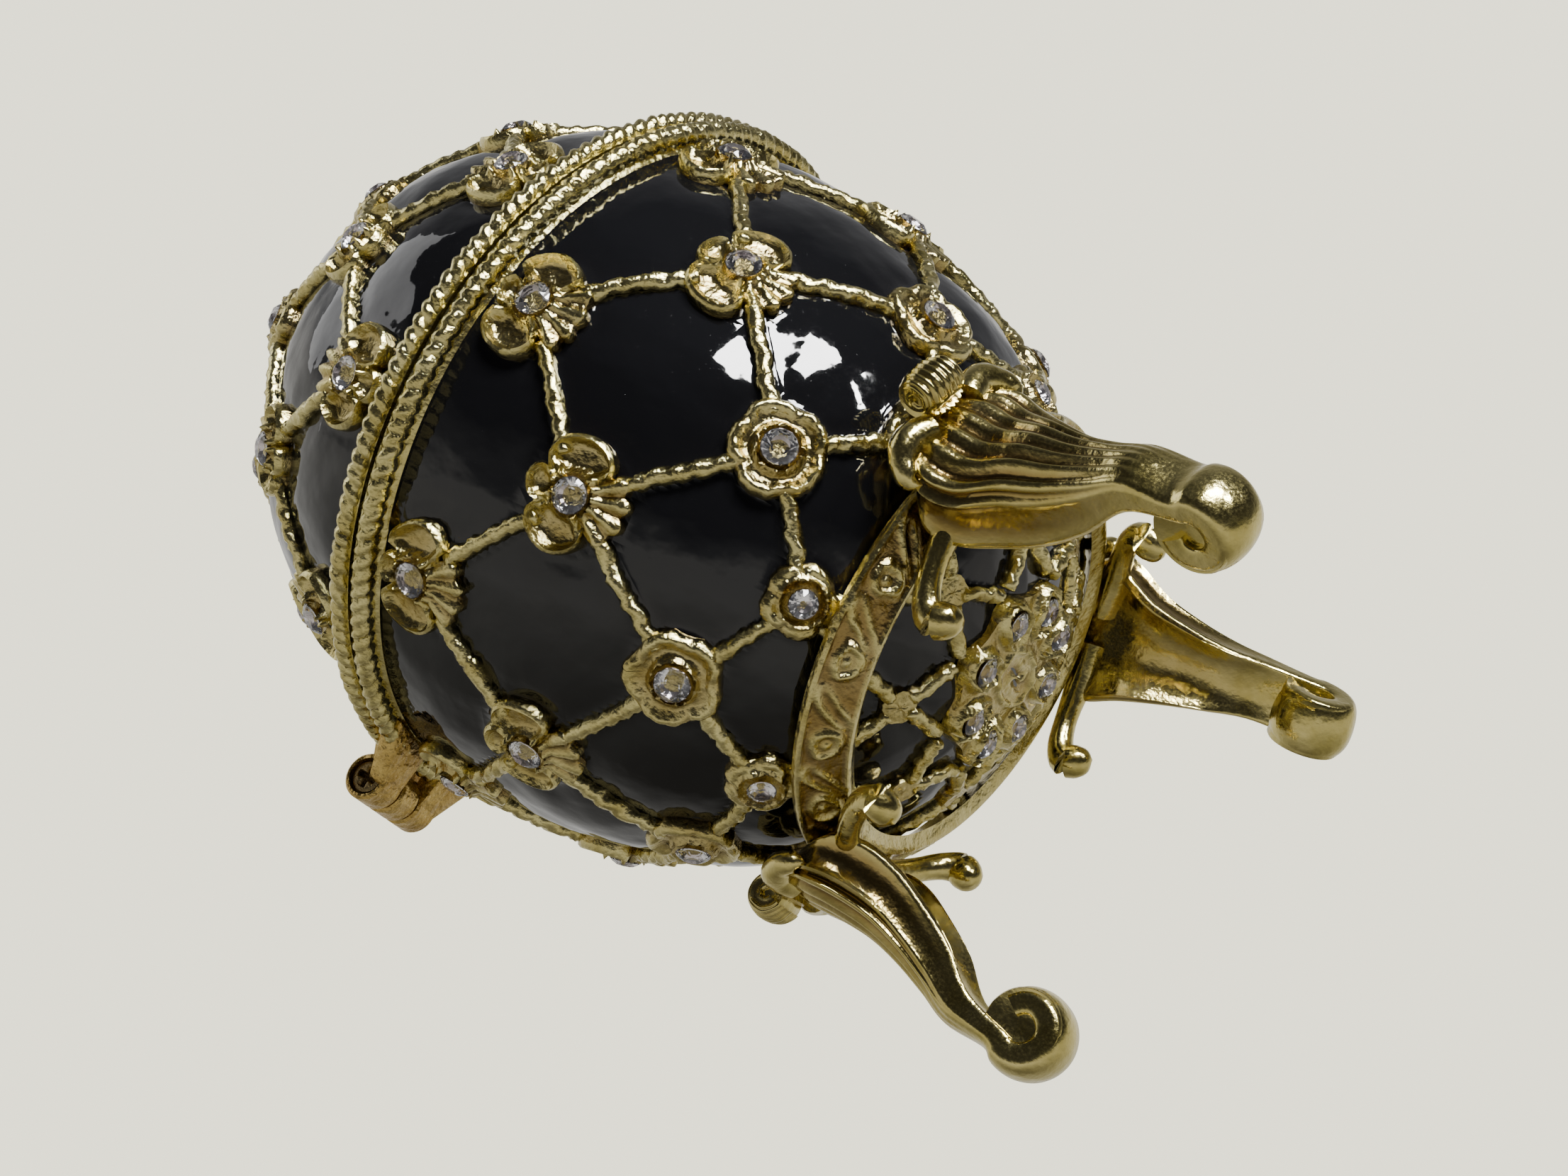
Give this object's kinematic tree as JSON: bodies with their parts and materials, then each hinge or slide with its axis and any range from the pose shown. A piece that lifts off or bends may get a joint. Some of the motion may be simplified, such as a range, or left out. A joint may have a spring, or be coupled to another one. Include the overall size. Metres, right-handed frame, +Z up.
{
  "type": "jewelled egg trinket box",
  "caption": "Egg-shaped trinket box in black enamel with a gilt rope net, flowers set with crystals, a hinged lid and a footed scroll stand",
  "frame": {"origin": "on the ground, under the middle of the whole box with its hinge", "axes": "+X to the right seen from the front, +Y to the back, where the hinge is, +Z up"},
  "size_m": [0.046, 0.049, 0.0698],
  "materials": {
    "black_enamel": "gloss",
    "gilt_metal": "polished",
    "screw_brass": "satin",
    "crystal": "gloss"
  },
  "bodies": {
    "base": {"egg_body": "black_enamel", "stand": "gilt_metal", "hinge_screw": "screw_brass", "stone_row_a_1": "crystal", "stone_row_a_2": "crystal", "stone_row_a_3": "crystal", "stone_row_a_4": "crystal", "stone_row_a_5": "crystal", "stone_row_a_6": "crystal", "stone_row_a_7": "crystal", "stone_row_a_8": "crystal", "stone_row_b_1": "crystal", "stone_row_b_2": "crystal", "stone_row_b_3": "crystal", "stone_row_b_4": "crystal", "stone_row_b_5": "crystal", "stone_row_b_6": "crystal", "stone_row_b_7": "crystal", "stone_row_b_8": "crystal", "stone_row_c_1": "crystal", "stone_row_c_2": "crystal", "stone_row_c_3": "crystal", "stone_row_c_4": "crystal", "stone_row_c_5": "crystal", "stone_row_c_6": "crystal", "stone_row_c_7": "crystal", "stone_row_c_8": "crystal", "stone_row_d_1": "crystal", "stone_row_d_2": "crystal", "stone_row_d_3": "crystal", "stone_row_d_4": "crystal", "stone_row_d_5": "crystal", "stone_row_d_6": "crystal", "stone_row_d_7": "crystal", "stone_row_d_8": "crystal", "stone_medallion_1": "crystal", "stone_medallion_2": "crystal", "stone_medallion_3": "crystal", "stone_medallion_4": "crystal", "stone_medallion_5": "crystal", "stone_medallion_6": "crystal", "stone_medallion_7": "crystal", "stone_medallion_8": "crystal"},
    "lid": {"egg_lid": "black_enamel", "stone_lid_row_a_1": "crystal", "stone_lid_row_a_2": "crystal", "stone_lid_row_a_3": "crystal", "stone_lid_row_a_4": "crystal", "stone_lid_row_a_5": "crystal", "stone_lid_row_a_6": "crystal", "stone_lid_row_a_7": "crystal", "stone_lid_row_a_8": "crystal", "stone_lid_row_b_1": "crystal", "stone_lid_row_b_2": "crystal", "stone_lid_row_b_3": "crystal", "stone_lid_row_b_4": "crystal", "stone_lid_row_b_5": "crystal", "stone_lid_row_b_6": "crystal", "stone_lid_row_b_7": "crystal", "stone_lid_row_b_8": "crystal"}
  },
  "joints": [
    {"name": "lid_hinge", "type": "hinge", "parent": "base", "child": "lid", "pos_m": [0, 0.02303, 0.045], "axis": [-1, 0, 0], "range_deg": [0, 100]}
  ]
}
